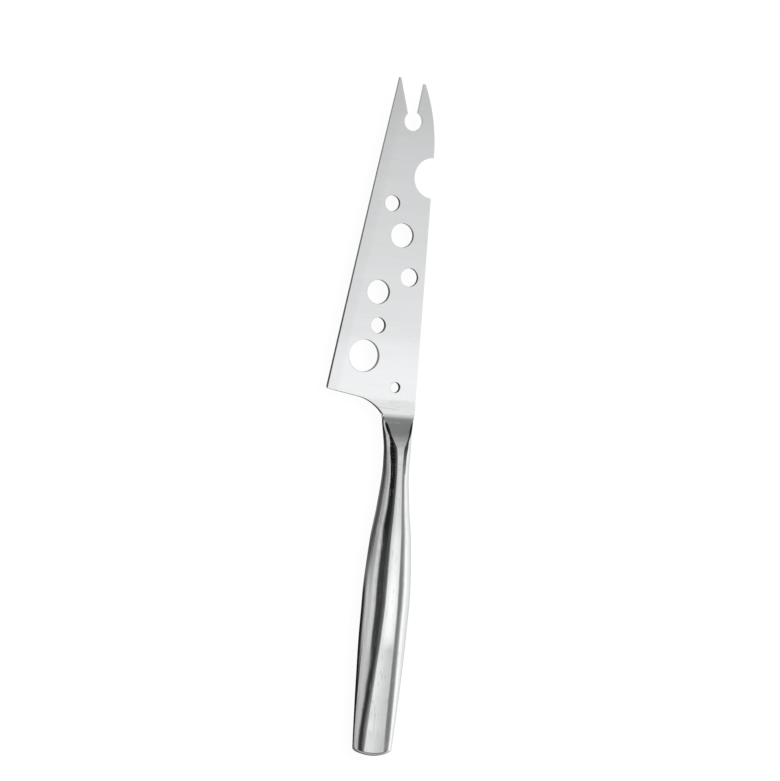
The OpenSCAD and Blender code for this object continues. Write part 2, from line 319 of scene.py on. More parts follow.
def plainMesh(source, name):
    depsgraph = bpy.context.evaluated_depsgraph_get()
    mesh = bpy.data.meshes.new_from_object(source.evaluated_get(depsgraph))
    made = newObject(name, mesh)
    old = source.data
    bpy.data.objects.remove(source)
    if old.users == 0:
        bpy.data.meshes.remove(old)
    made.name = name
    mesh.name = name
    return made


def treePiece(name, tree, keys, values):
    source = newObject(name + "Source", bpy.data.meshes.new(name + "Source"))
    modifier = source.modifiers.new(name, "NODES")
    modifier.node_group = tree
    for label, value in values.items():
        modifier[keys[label]] = value
    made = plainMesh(source, name)
    made.data.materials.clear()
    made.data.materials.append(values["Material"])
    made.data.polygons.foreach_set("material_index", [0] * len(made.data.polygons))
    return made


def editMesh(mesh, change):
    form = bmesh.new()
    form.from_mesh(mesh)
    change(form)
    form.to_mesh(mesh)
    form.free()


# weld in metres. Edges are sharp where two faces turn by more than these degrees, and faces that
# are nearly level have a smaller limit, so the flat of the blade stays flat.
meshing = {"weld": 1e-7, "steelTurn": 14.0, "beadTurn": 40.0, "levelTurn": 0.5, "levelZ": 0.96}


# The open skin's normals are made to point away from its own middle before it gets its wall
def shellWall(piece, thickness):
    def outwards(form):
        bmesh.ops.remove_doubles(form, verts=form.verts, dist=meshing["weld"])
        bmesh.ops.recalc_face_normals(form, faces=form.faces)
        middle = sum((v.co for v in form.verts), Vector()) / len(form.verts)
        shares = [(f.calc_center_median() - middle).dot(f.normal) * f.calc_area()
                  for f in form.faces]
        if sum(shares) < 0:
            bmesh.ops.reverse_faces(form, faces=form.faces)

    editMesh(piece.data, outwards)
    wall = piece.modifiers.new("wall", "SOLIDIFY")
    wall.thickness = thickness * mm
    wall.offset = -1.0
    wall.use_even_offset = True
    return plainMesh(piece, piece.name)


def setEdges(piece, limit=meshing["steelTurn"], levelLimit=None):
    def mark(form):
        for face in form.faces:
            face.smooth = True
        for edge in form.edges:
            if len(edge.link_faces) == 2:
                a, b = (face.normal for face in edge.link_faces)
                level = levelLimit is not None and min(abs(a.z), abs(b.z)) > meshing["levelZ"]
                edge.smooth = degrees(a.angle(b, 0.0)) < (levelLimit if level else limit)

    editMesh(piece.data, mark)


def newMesh(name, points, faces=()):
    mesh = bpy.data.meshes.new(name)
    mesh.from_pydata([tuple(p) for p in points], [], faces)
    return mesh


def meshPiece(name, points, faces):
    mesh = newMesh(name, points, faces)
    editMesh(mesh, lambda form: bmesh.ops.recalc_face_normals(form, faces=form.faces))
    return newObject(name, mesh)


# The blade's outline, by the same rule as in the part's source
blade = {
    "from": 137.0, "length": 143.0, "point": 280.0, "width": 39.7,
    "heelThick": 2.4, "pointThick": 1.2, "bow": 0.2, "heel": 150.0, "heelAngle": 9.5,
    "heelCurve": 18.5, "curveFrom": 25.5, "curveEnd": 50.0, "rootSink": 0.1, "heelCorner": 0.8,
    "grind": 5.0, "grindThick": 0.9, "bevel": 0.6, "pointBevel": 0.3, "edgeThick": 0.2,
    "longProng": 18.0, "shortProng": 6.1, "shortDrop": 1.8, "shortRound": 72.0,
    "prongFlat": 0.9, "chamfer": 0.12, "edgeSteps": 60, "arcSteps": 28, "cornerSteps": 8,
    "straight": 0.02, "overSteps": 2, "weld": 1e-5, "edgeMargin": 1e-3,
}
piercings = {
    "holes": [(0.636, 0.629, 6.6), (0.546, 0.395, 10.0), (0.427, 0.217, 7.7), (0.378, 0.611, 10.0),
              (0.282, 0.543, 6.6), (0.192, 0.653, 13.4), (0.107, 0.243, 4.4)],
    "keyhole": (0.877, 0.490, 7.9), "throatTurns": (66.0, 133.0),
    "notchShare": 0.719, "notchOut": 0.4, "notch": 16.7,
    "segments": 96, "chamfer": 0.12, "overrun": 0.6,
}


# How far along the blade a place is, as a share of the way from the heel to the point
def bladeShare(y):
    return (y - blade["heel"]) / (blade["point"] - blade["heel"])


def edgeX(y):
    t = bladeShare(y)
    return -mix(blade["width"], blade["longProng"], t) - 4 * blade["bow"] * t * (1 - t)


def halfThick(y):
    return mix(blade["heelThick"], blade["pointThick"], (y - blade["from"]) / blade["length"]) / 2


def holeCentre(shareY, shareX):
    y = blade["from"] + blade["length"] * shareY
    return edgeX(y) * shareX, y


# Points round the blade, and for each side of it how far its top edge is chamfered
def bladeOutline():
    b = blade
    slope, last = radians(b["heelAngle"]), radians(b["curveEnd"])
    steps, curve = b["arcSteps"], b["heelCurve"]
    curveX = -b["curveFrom"] - curve * sin(slope)
    curveY = b["heel"] - (b["width"] - b["curveFrom"]) * tan(slope) - curve * cos(slope)
    rootY = curveY + curve * cos(last) - b["rootSink"]
    shortY = b["point"] - b["shortDrop"]
    r = b["shortRound"]
    backY = shortY - sqrt(r * r - (r - b["shortProng"]) ** 2)
    points = [(0.0, rootY)]
    for i in range(steps + 1):
        y = mix(backY, shortY, i / steps)
        points.append((sqrt(r * r - (y - backY) ** 2) - r, y))
    points.append((-b["shortProng"] - b["prongFlat"], shortY))

    # The throat between the prongs runs into the middle of the keyhole
    keyX, keyY = holeCentre(*piercings["keyhole"][:2])
    keyR = piercings["keyhole"][2] / 2
    right, left = ((keyX + keyR * cos(a), keyY + keyR * sin(a))
                   for a in map(radians, piercings["throatTurns"]))
    points += [right, (keyX, keyY), left, (b["prongFlat"] - b["longProng"], b["point"])]

    # The cutting edge, the rounded corner of the heel and the curve up to the neck
    heelTop = b["heel"] + b["heelCorner"]
    edgeStart = len(points)
    for i in range(b["edgeSteps"] + 1):
        y = mix(b["point"], heelTop, i / b["edgeSteps"])
        points.append((edgeX(y), y))
    edgeEnd = len(points) - 1
    tip = Vector((-b["width"], b["heel"]))
    top = Vector((edgeX(heelTop), heelTop))
    bottom = tip + b["heelCorner"] * Vector((cos(slope), -sin(slope)))
    for i in range(1, b["cornerSteps"] + 1):
        t = i / b["cornerSteps"]
        points.append(tuple((1 - t) ** 2 * top + 2 * t * (1 - t) * tip + t * t * bottom))
    for i in range(steps + 1):
        a = mix(slope, last, i / steps)
        points.append((curveX + curve * sin(a), curveY + curve * cos(a)))
    points.append((curveX + curve * sin(last), rootY))
    cuts = [0.0 if edgeStart <= i < edgeEnd else b["chamfer"] for i in range(len(points))]
    return points, cuts


# The outline moved inwards by each side's own distance
def insetLoop(points, cuts):
    moved = []
    n = len(points)
    for i in range(n):
        before, here, after = (Vector(points[k % n]) for k in (i - 1, i, i + 1))
        u, v = (here - before).normalized(), (after - here).normalized()
        p = here + Vector((-u.y, u.x)) * cuts[i - 1]
        q = here + Vector((-v.y, v.x)) * cuts[i]
        cross = u.x * v.y - u.y * v.x
        if abs(cross) < blade["straight"]:
            moved.append((p + q) / 2)
        else:
            gap = q - p
            moved.append(p + u * ((gap.x * v.y - gap.y * v.x) / cross))
    return moved


def bevelWide(y):
    return mix(blade["bevel"], blade["pointBevel"], clamp(bladeShare(y)))


def bladeTop(x, y):
    b = blade
    d = x - edgeX(y)
    bevel = bevelWide(y)
    if d <= bevel:
        return mix(b["edgeThick"], b["grindThick"], clamp(d / bevel)) / 2
    if d <= b["grind"]:
        share = (d - bevel) / (b["grind"] - bevel)
        return mix(b["grindThick"] / 2, halfThick(y), share)
    return halfThick(y)


def buildPlate():
    b = blade
    outer, cuts = bladeOutline()
    n = len(outer)
    points = [Vector(p) for p in outer] + insetLoop(outer, cuts)
    edges = [(n + i, n + (i + 1) % n) for i in range(n)]
    for atBevel in (True, False):  # the lines where the bevel and the ground strip end
        start = len(points)
        for i in range(-b["overSteps"], b["edgeSteps"] + 1):
            y = mix(b["heel"] + b["heelCorner"], b["point"], i / b["edgeSteps"])
            points.append(Vector((edgeX(y) + (bevelWide(y) if atBevel else b["grind"]), y)))
        edges += [(k, k + 1) for k in range(start, len(points) - 1)]
    inside = 1  # the kind of result: only what is inside the outline
    flat, _, faces, *_ = delaunay_2d_cdt(points, edges, [list(range(n))], inside, b["weld"])
    used = sorted({k for face in faces for k in face})
    order = {k: i for i, k in enumerate(used)}
    faces = [[order[k] for k in face] for face in faces]
    flat = [flat[k] for k in used]
    sides = Counter(tuple(sorted(pair)) for face in faces
                    for pair in zip(face, face[1:] + face[:1]))
    rim = [side for side, times in sides.items() if times == 1]
    onRim = {k for side in rim for k in side}
    top = []
    for i, p in enumerate(flat):
        chamfered = i in onRim and p.x > edgeX(p.y) + b["edgeMargin"]
        top.append(bladeTop(p.x, p.y) - (b["chamfer"] if chamfered else 0.0))
    total = len(flat)
    solid = [placed(p.x, p.y, sign * z) for sign in (1, -1) for p, z in zip(flat, top)]
    walls = [[i, k, k + total, i + total] for i, k in rim]
    under = [[k + total for k in reversed(face)] for face in faces]
    return meshPiece("plate", solid, faces + under + walls)


# Every hole is one point that carries its radius and the blade's half thickness there. The tree
# sets a cutter on each, flared at both faces so that the hole's edges come out chamfered.
def buildPiercingTree():
    graph, keys, g = newGeometryTree("piercings", {
        "Plate": "NodeSocketObject", "Holes": "NodeSocketObject",
        "Segments": piercings["segments"], "Chamfer": piercings["chamfer"] * mm,
        "Overrun": piercings["overrun"] * mm, "Material": "NodeSocketMaterial",
    })
    plate, holes = (graph.link("GeometryNodeObjectInfo", {0: g[label]}, out="Geometry")
                    for label in ("Plate", "Holes"))
    position = graph.link("GeometryNodeInputPosition")
    marked = graph.link("GeometryNodeStoreNamedAttribute",
                        {0: holes, "Name": "centre", "Value": position},
                        data_type="FLOAT_VECTOR", domain="POINT")
    sizes = {"Vertices": g["Segments"], "Side Segments": 3, "Radius": 1.0, "Depth": 2.0}
    cutter = graph.link("GeometryNodeMeshCylinder", sizes, fill_type="NGON")
    spread = graph.link("GeometryNodeInstanceOnPoints", {"Points": marked, "Instance": cutter})
    real = graph.link("GeometryNodeRealizeInstances", {0: spread})
    centre, radius, half = (
        graph.link("GeometryNodeInputNamedAttribute", {"Name": name}, data_type=kind)
        for name, kind in (("centre", "FLOAT_VECTOR"), ("radius", "FLOAT"), ("half", "FLOAT")))
    x, y, z = graph.parts(graph.vectors("SUBTRACT", position, centre))
    outside = graph.maths("GREATER_THAN", graph.maths("ABSOLUTE", z), 0.5)
    flare = outside * (g["Chamfer"] + g["Overrun"])
    reach = radius + flare
    depth = graph.maths("SIGN", z) * (half - g["Chamfer"] + flare)
    shaped = graph.link("ShaderNodeCombineXYZ", {0: x * reach, 1: y * reach, 2: depth})
    moved = graph.vectors("ADD", centre, shaped)
    cutters = graph.link("GeometryNodeSetPosition", {0: real, 2: moved})
    pierced = graph.link("GeometryNodeMeshBoolean", {"Mesh 1": plate, "Mesh 2": cutters},
                         operation="DIFFERENCE", solver="EXACT")
    finishTree(graph, pierced, g["Material"])
    return graph.tree, keys


def holePoints(name, holes):
    mesh = newMesh(name, [placed(x, y, 0.0) for x, y, _, _ in holes])
    for label, column in (("radius", 2), ("half", 3)):
        values = mesh.attributes.new(label, "FLOAT", "POINT")
        values.data.foreach_set("value", [hole[column] * mm for hole in holes])
    return newObject(name, mesh)


def pierce(name, plate, holes, material):
    points = holePoints(name + "Holes", holes)
    values = {"Plate": plate, "Holes": points, "Material": material}
    piece = treePiece(name, *piercingTree, values)
    for helper in (plate, points):
        bpy.data.objects.remove(helper)
    return piece


def bladeHoles():
    holes = []
    for shareY, shareX, wide in piercings["holes"] + [piercings["keyhole"]]:
        x, y = holeCentre(shareY, shareX)
        holes.append((x, y, wide / 2, halfThick(y)))
    y = blade["from"] + blade["length"] * piercings["notchShare"]
    return holes + [(piercings["notchOut"], y, piercings["notch"] / 2, halfThick(y))]


tang = {"end": 76.4, "width": 6.0, "thick": 2.4, "hole": 3.0, "holeUp": 6.0, "axis": 6.1,
        "into": 2.0}


def buildTangBar():
    points = [placed(-tang["axis"] + i * tang["width"] / 2, y, k * tang["thick"] / 2)
              for k in (-1, 1) for y in (tang["end"], handle["neck"] + tang["into"])
              for i in (-1, 1)]
    faces = [(0, 1, 3, 2), (4, 5, 7, 6), (0, 1, 5, 4), (2, 3, 7, 6), (0, 2, 6, 4), (1, 3, 7, 5)]
    return meshPiece("tangBar", points, faces)


def closeEnds(form):
    bmesh.ops.remove_doubles(form, verts=form.verts, dist=meshing["weld"])
    bmesh.ops.holes_fill(form, edges=[e for e in form.edges if e.is_boundary], sides=0)
    bmesh.ops.recalc_face_normals(form, faces=form.faces)


def joinPieces(name, *pieces):
    form = bmesh.new()
    for piece in pieces:
        form.from_mesh(piece.data)
    mesh = bpy.data.meshes.new(name)
    form.to_mesh(mesh)
    form.free()
    for material in pieces[0].data.materials:
        mesh.materials.append(material)
    for piece in pieces:
        bpy.data.objects.remove(piece)
    return newObject(name, mesh)


# Where the shells' rim runs in the knife's middle plane: down one side, round the butt and back
def rimPath(inset):
    low = handle["seam"] / 2

    def halfWidth(y, depth):
        full = along(1, y) / 2
        across = full - depth
        height = along(2, y) / 2 - depth
        flat = along(3, y) / 2 * across / full
        rise = height / sqrt(1 - (flat / across) ** 2)
        return across * sqrt(1 - (low / rise) ** 2)

    def spot(x, y):
        fade = max(0.0, 1 - y / section["Bow Reach"])
        bow = section["Bow"] * fade * fade * (2 * x / section["Butt Width"]) ** 2
        return x - along(4, y), y + bow

    r = section["Butt Round"]
    small = r - inset
    rows = []
    for i in range(section["Body Rows"] + 1):
        y = mix(handle["joint"], r, i / section["Body Rows"])
        rows.append((halfWidth(y, inset), y))
    for i in range(1, section["Round Rows"] + 1):
        t = pi / 2 * (1 - i / section["Round Rows"])
        y = r - small * cos(t)
        rows.append((halfWidth(y, r - small * sin(t)), y))
    wide, y = rows[-1]
    steps = handle["endSteps"]
    end = [(wide * (1 - 2 * i / steps), y) for i in range(1, steps)]
    return ([spot(-w, y) for w, y in rows] + [spot(-w, y) for w, y in end]
            + [spot(w, y) for w, y in reversed(rows)])


def buildSeamBead(material):
    outer, inner = rimPath(0.0), rimPath(handle["wall"])
    low = handle["seam"] / 2
    n = len(outer)
    points = []
    for path, z in ((outer, -low), (outer, low), (inner, low), (inner, -low)):
        points += [placed(x, y, z) for x, y in path]
    faces = []
    for k in range(4):
        a, b = k * n, (k + 1) % 4 * n
        faces += [(a + i, a + i + 1, b + i + 1, b + i) for i in range(n - 1)]
    faces += [(0, n, 2 * n, 3 * n), (n - 1, 2 * n - 1, 3 * n - 1, 4 * n - 1)]
    piece = meshPiece("seamBead", points, faces)
    piece.data.materials.append(material)
    return piece


bladeSteel, neckSteel, handleSteel, weldSteel, cementPaste = (
    bpy.data.materials.new(name)
    for name in ("bladeSatin", "neckPolish", "handlePolish", "weldPolish", "handleCement"))
piercingTree = buildPiercingTree()
handleTree = buildHandleTree()

bladePlate = pierce("bladePlate", buildPlate(), bladeHoles(), bladeSteel)
setEdges(bladePlate, levelLimit=meshing["levelTurn"])
print("stage: blade")


# A full ring of the handle's section, without the butt
def ringPiece(name, start, end, rows, material):
    return treePiece(name, *handleTree, {
        "Start": start, "End": end, "Butt Round": 0.0, "Cap Rows": 0, "Round Rows": 0,
        "Body Rows": rows, "Seam Half": 0.0, "Whole Ring": True, "Material": material})


neckRing = ringPiece("neckRing", handle["neck"], handle["curveEnd"], handle["neckRows"], neckSteel)
editMesh(neckRing.data, closeEnds)
tangHole = (-tang["axis"], tang["end"] + tang["holeUp"], tang["hole"] / 2, tang["thick"] / 2)
tangBar = pierce("tangBar", buildTangBar(), [tangHole], neckSteel)
neckForging = joinPieces("neckForging", neckRing, tangBar)
setEdges(neckForging)
print("stage: neck and tang")

skins = []
for name, back in (("handleFrontSkin", False), ("handleBackSkin", True)):
    skin = treePiece(name, *handleTree, {"Back": back, "Material": handleSteel})
    skin = shellWall(skin, handle["wall"])
    setEdges(skin)
    skins.append(skin)
print("stage: handle skins")

neckBead = ringPiece("neckBeadRing", handle["joint"], handle["neck"], handle["ringRows"], weldSteel)
neckBead = shellWall(neckBead, handle["wall"])
neckBead.name = "neckBead"
setEdges(neckBead)
seamBead = buildSeamBead(weldSteel)
setEdges(seamBead, meshing["beadTurn"])
print("stage: welds")

for piece, node, slot in (
        (bladePlate, "blade", "blade_steel"), (neckForging, "blade", "blade_steel"),
        (skins[0], "handle_front_shell", "handle_steel"),
        (skins[1], "handle_back_shell", "handle_steel"),
        (neckBead, "neck_weld", "weld_steel"), (seamBead, "seam_weld", "weld_steel")):
    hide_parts(node)
    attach(piece, "root")

polish = {"grey": 0.76, "greyDrift": 0.02, "rough": 0.10, "roughDrift": 0.04,
          "brushDepth": 0.0006, "streakLong": 30.0, "streakFine": 0.5, "brushFine": 0.15,
          "tint": (0.985, 1.0, 1.004), "cloud": 0.02, "cloudLong": 40.0, "cloudFine": 2.0,
          "scratch": 0.16, "scratchFrom": 0.66, "scratchWidth": 0.08}
satin = {**polish, "grey": 0.88, "rough": 0.24, "roughDrift": 0.035, "brushDepth": 0.0025,
         "streakLong": 22.0, "streakFine": 0.45, "brushFine": 0.12, "tint": (0.985, 1.0, 1.008),
         "cloud": 0.025, "cloudFine": 6.0, "scratch": 0.03, "scratchFrom": 0.68}
weld = {**polish, "grey": 0.74, "greyDrift": 0.03, "rough": 0.17, "roughDrift": 0.06,
        "brushDepth": 0.0008, "streakLong": 8.0, "streakFine": 0.4, "cloud": 0.03,
        "cloudLong": 12.0, "scratch": 0.10}
# A finish's layers of streaks: the width they go by, how many times shorter and wider they are
# than it says, and the detail of their noise
layers = {"coarse": ("streakFine", 1, 4, 3.0), "fine": ("streakFine", 2, 1, 2.0),
          "brush": ("brushFine", 4, 1, 2.0), "scratches": ("streakFine", 5, 0.8, 0.0)}
# The satin of the blade ends in an arc in front of the neck: its crown in mm of the frame, how fast
# it falls away to the sides, and how soft it is
satinEnd = {"x": 10.7, "y": 7.3, "bend": 0.025, "soft": 0.45}


def newShader(material):
    material.use_nodes = True
    tree = material.node_tree
    tree.nodes.clear()
    return Graph(tree)


def objectSpot(graph):
    return graph.link("ShaderNodeTexCoord", out="Object")


def streaks(graph, spot, long, fine, acrossBlade, detail=1.0):
    sizes = (long, fine, long) if acrossBlade else (fine, long, fine)
    stretched = graph.vectors("MULTIPLY", spot, [1000 / size for size in sizes])
    return graph.link("ShaderNodeTexNoise", {"Vector": stretched, "Scale": 1.0, "Detail": detail})


# One ground finish: its base colour, roughness and the height of its brush marks
def groundFinish(graph, spot, finish, acrossBlade):
    coarse, fine, brush, marks = (
        streaks(graph, spot, finish["streakLong"] / shorter, finish[width] * wider, acrossBlade,
                detail) for width, shorter, wider, detail in layers.values())
    cloud = streaks(graph, spot, finish["cloudLong"], finish["cloudFine"], acrossBlade)
    start = finish["scratchFrom"]
    scratch = graph.eased(marks, start, start + finish["scratchWidth"])
    drift = (coarse + fine) - 1.0
    grey = finish["grey"] + drift * (finish["greyDrift"] * 2)
    grey = grey + (cloud - 0.5) * (finish["cloud"] * 2)
    colour = graph.link("ShaderNodeCombineColor",
                        {i: grey * part for i, part in enumerate(finish["tint"])})
    rough = finish["rough"] + drift * (finish["roughDrift"] * 2) + scratch * finish["scratch"]
    return colour, rough, brush * finish["brushDepth"]


def addPrincipled(graph, sockets):
    shader = graph.link("ShaderNodeBsdfPrincipled", sockets)
    graph.node("ShaderNodeOutputMaterial", {0: shader})


def steelShader(graph, colour, rough, height):
    bump = graph.link("ShaderNodeBump", {"Height": height, "Strength": 1.0, "Distance": mm})
    addPrincipled(graph, {"Base Color": colour, "Metallic": 1.0, "Roughness": rough,
                          "Normal": bump})


def brushedSteel(material, finish, acrossBlade):
    graph = newShader(material)
    steelShader(graph, *groundFinish(graph, objectSpot(graph), finish, acrossBlade))


def colourMix(graph, share, low, high):
    return graph.link("ShaderNodeMix", {0: share, 6: low, 7: high}, out=2, data_type="RGBA")


# The blade: satin up to the arc, and beyond it polished like the neck
def bladeFinish(material):
    graph = newShader(material)
    spot, end = objectSpot(graph), satinEnd
    x, y, _ = (part * 1000 for part in graph.parts(spot))
    side = x - end["x"]
    level = y + side * side * end["bend"]
    mask = graph.eased(level, end["y"] - end["soft"], end["y"] + end["soft"])
    ground = groundFinish(graph, spot, satin, True)
    shiny = groundFinish(graph, spot, polish, True)
    rough, height = (low + (high - low) * mask for low, high in zip(shiny[1:], ground[1:]))
    steelShader(graph, colourMix(graph, mask, shiny[0], ground[0]), rough, height)


bladeFinish(bladeSteel)
brushedSteel(neckSteel, polish, True)
brushedSteel(handleSteel, polish, False)
brushedSteel(weldSteel, weld, False)

cement = {"light": (0.74, 0.70, 0.62, 1.0), "dark": (0.66, 0.62, 0.54, 1.0),
          "grain": 900.0, "grainDetail": 2.0, "patch": 160.0, "patchDetail": 3.0,
          "patchShare": 0.7, "from": 0.35, "to": 0.65, "rough": 0.75, "roughDrift": 0.1,
          "pit": 0.12, "pitStrength": 0.6}


# Cast paste: uneven in tone, matt, with small pits
def cementFinish(material):
    graph = newShader(material)
    spot, c = objectSpot(graph), cement
    patch, grain = (graph.link("ShaderNodeTexNoise", {"Vector": spot, "Scale": c[name],
                                                      "Detail": c[name + "Detail"]})
                    for name in ("patch", "grain"))
    tone = patch * c["patchShare"] + grain * (1 - c["patchShare"])
    share = graph.eased(tone, c["from"], c["to"])
    pits = graph.link("ShaderNodeBump", {"Height": grain, "Strength": c["pitStrength"],
                                         "Distance": c["pit"] * mm})
    addPrincipled(graph, {"Base Color": colourMix(graph, share, c["dark"], c["light"]),
                          "Roughness": c["rough"] + (grain - 0.5) * c["roughDrift"],
                          "Normal": pits})


cementFinish(cementPaste)
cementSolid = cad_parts["tang_cement"]
for place in cementSolid.material_slots:
    place.material = cementPaste
print("stage: finishes")

view = {"lean": 22.0, "turn": 4.4, "target": (0.0064, 0.01092, 0.00677), "distance": 1.5,
        "across": 0.32196, "sensor": 36.0}


def addCamera():
    lean, turn = radians(view["lean"]), radians(view["turn"])
    level = Vector((cos(lean), 0.0, sin(lean)))
    ahead = Vector((0.0, 1.0, 0.0))
    right = level * cos(turn) + ahead * sin(turn)
    up = ahead * cos(turn) - level * sin(turn)
    back = right.cross(up)
    lens = bpy.data.cameras.new("photoCamera")
    lens.sensor_fit = "HORIZONTAL"
    lens.sensor_width = view["sensor"]
    lens.lens = view["sensor"] * view["distance"] / view["across"]
    turned = Matrix((right, up, back)).transposed().to_4x4()
    camera = newObject("photoCamera", lens)
    camera.matrix_world = (Matrix.Translation(Vector(view["target"]) + back * view["distance"])
                           @ turned)
    scene.camera = camera


# Paper floor, lamp and room. fill is the room's light on what isn't mirror-like.
studio = {"floor": 3.0, "floorDrop": 0.05, "shadowShare": 0.05, "paper": 0.95, "fill": 0.85,
          "lamp": 9.0, "lampSize": 0.7, "lampAt": (0.3, 0.35, 1.0)}
white = (1.0, 1.0, 1.0, 1.0)


def isSeen(graph):
    ray = graph.node("ShaderNodeLightPath")
    seen = [Link(graph, ray.outputs[name])
            for name in ("Is Camera Ray", "Is Glossy Ray", "Is Transmission Ray")]
    return graph.limited(seen[0] + seen[1] + seen[2])


# A piece of the studio: its mesh, and the graph of its own material
def newSheet(name, points, faces, finish):
    mesh = newMesh(name, points, faces)
    material = bpy.data.materials.new(finish)
    mesh.materials.append(material)
    return newObject(name, mesh), newShader(material)


def addFloor():
    half = studio["floor"] / 2
    z = -studio["floorDrop"] * mm
    corners = [(-half, -half, z), (half, -half, z), (half, half, z), (-half, half, z)]
    floor, graph = newSheet("paleFloor", corners, [(0, 1, 2, 3)], "palePaper")
    tone = (studio["paper"],) * 3 + (1.0,)
    paper = graph.link("ShaderNodeBsdfDiffuse", {"Color": tone})
    bright = graph.link("ShaderNodeEmission", {"Color": white, "Strength": 1.0})
    mixed = graph.link("ShaderNodeMixShader",
                       {0: isSeen(graph) * (1 - studio["shadowShare"]), 1: paper, 2: bright})
    graph.node("ShaderNodeOutputMaterial", {0: mixed})


# A sheet that only the steel's gloss sees: rows of points in mm of the frame, each point with its
# own tone, a grey or a colour
def glossSheet(name, rows, tones):
    wide = len(rows[0])
    points = [(x * mm, y * mm, z * mm) for row in rows for x, y, z in row]
    faces = [(i * wide + k, i * wide + k + 1, (i + 1) * wide + k + 1, (i + 1) * wide + k)
             for i in range(len(rows) - 1) for k in range(wide - 1)]
    sheet, graph = newSheet(name, points, faces, name + "Tones")
    colours = [tone if isinstance(tone, tuple) else (tone,) * 3 for row in tones for tone in row]
    values = sheet.data.attributes.new("tone", "FLOAT_COLOR", "POINT")
    values.data.foreach_set("color", [value for colour in colours for value in (*colour, 1.0)])
    tone = graph.link("ShaderNodeAttribute", attribute_name="tone")
    glow = graph.link("ShaderNodeEmission", {"Color": tone, "Strength": 1.0})
    graph.node("ShaderNodeOutputMaterial", {0: glow})
    for ray in ("camera", "diffuse", "shadow", "transmission", "volume_scatter"):
        setattr(sheet, "visible_" + ray, False)


# A gloss sheet over a grid. spot takes two shares, across it and along it, and gives a point and
# its tone.
def gridSheet(name, wide, tall, spot):
    rows = [[spot(i / wide, j / tall) for i in range(wide + 1)] for j in range(tall + 1)]
    glossSheet(name, [[point for point, _ in row] for row in rows],
               [[tone for _, tone in row] for row in rows])


# A gloss sheet two points wide. Each row gives both points and their tone.
def stripSheet(name, rows):
    glossSheet(name, [row[:2] for row in rows], [[row[2]] * 2 for row in rows])


# The light tent over the knife. Each station along it lists what hangs there from the left, over
# the top, to the right: angles from straight up, and tones in hundredths. Between stations both
# change evenly. What hangs left of the stop warmUpTo is a little yellow.
tent = {
    "radius": 900.0, "middleX": -6.2, "reach": 92, "steps": 184, "lengthStep": 10.0,
    "warm": (1.0, 1.0, 0.965), "warmUpTo": 3,
}
tentStations = [
    (-900, [-95, -76, -54, -29, -20, -13, -8, -1, 9, 19, 27, 43, 54, 61, 73, 95],
     [5, 5, 6, 8, 5, 4, 8, 12, 15, 18, 16, 12, 12, 20, 60, 60]),
    (-520, [-95, -76, -54, -29, -20, -13, -8, -1, 9, 19, 27, 43, 54, 61, 73, 95],
     [5, 5, 16, 20, 5, 4, 8, 16, 22, 26, 22, 14, 14, 25, 80, 80]),
    (-362, [-95, -76, -54, -31, -22, -14, -9, -1, 10, 18, 27, 43, 54, 61, 73, 95],
     [5, 5, 56, 66, 5, 3, 11, 40, 84, 96, 74, 27, 24, 39, 130, 115]),
    (-335, [-95, -76, -54, -33, -24, -14, -9, -1, 10, 18, 27, 43, 54, 61, 73, 95],
     [5, 5, 58, 66, 5, 3, 11, 40, 92, 116, 86, 30, 25, 39, 130, 115]),
    (-300, [-95, -74, -54, -31, -21, -13, -8, -1, 9, 17, 27, 43, 54, 61, 73, 95],
     [5, 6, 60, 66, 5, 3, 11, 40, 74, 90, 64, 30, 25, 39, 130, 115]),
    (-270, [-95, -76, -48, -37, -30, -16, -6, 3, 15, 22, 34, 43, 54, 61, 73, 95],
     [15, 58, 68, 64, 6, 5, 13, 40, 90, 120, 66, 35, 25, 39, 132, 115]),
    (-215, [-95, -72, -48, -41, -33, -17, -7, 2, 14, 22, 34, 42, 54, 61, 73, 95],
     [72, 68, 80, 72, 7, 5, 13, 39, 90, 134, 68, 33, 25, 41, 132, 115]),
    (-110, [-95, -74, -53, -44, -35, -18, -7, 2, 14, 22, 33, 42, 53, 60, 73, 95],
     [70, 61, 86, 74, 6, 5, 11, 39, 92, 138, 66, 30, 23, 39, 132, 110]),
    (-40, [-95, -76, -54, -45, -36, -20, -7, 3, 15, 22, 36, 46, 54, 61, 73, 95],
     [44, 52, 88, 68, 7, 5, 10, 32, 76, 120, 57, 31, 25, 44, 132, 110]),
    (30, [-95, -76, -54, -49, -39, -20, -7, 3, 15, 22, 36, 47, 56, 65, 75, 95],
     [30, 39, 88, 60, 3, 3, 10, 29, 60, 97, 63, 42, 29, 55, 124, 120]),
    (110, [-95, -76, -60, -54, -45, -20, -7, 3, 15, 22, 34, 43, 54, 59, 70, 95],
     [30, 55, 70, 36, 1, 1, 10, 30, 60, 90, 14, 5, 5, 44, 120, 120]),
    (190, [-95, -72, -60, -52, -42, -20, -9, 3, 15, 22, 34, 43, 54, 59, 72, 95],
     [12, 22, 62, 48, 0.8, 0.8, 9, 24, 46, 60, 8, 4, 4, 30, 100, 100]),
    (290, [-95, -72, -60, -50, -38, -20, -9, 3, 15, 22, 36, 46, 56, 62, 74, 95],
     [10, 16, 44, 44, 3, 1, 9, 18, 26, 29, 14, 11, 10, 14, 34, 44]),
    (900, [-95, -72, -60, -50, -38, -20, -9, 3, 15, 22, 36, 46, 56, 62, 74, 95],
     [10, 16, 44, 44, 3, 1, 9, 18, 24, 25, 14, 11, 10, 14, 34, 44]),
]


def tentTone(angle, y):
    angles, tones = (between([(row[0], row[n]) for row in tentStations], y) for n in (1, 2))
    i = stretchAt(angles, angle)
    return mix(tones[i], tones[i + 1], smooth(angle, angles[i], angles[i + 1])), i


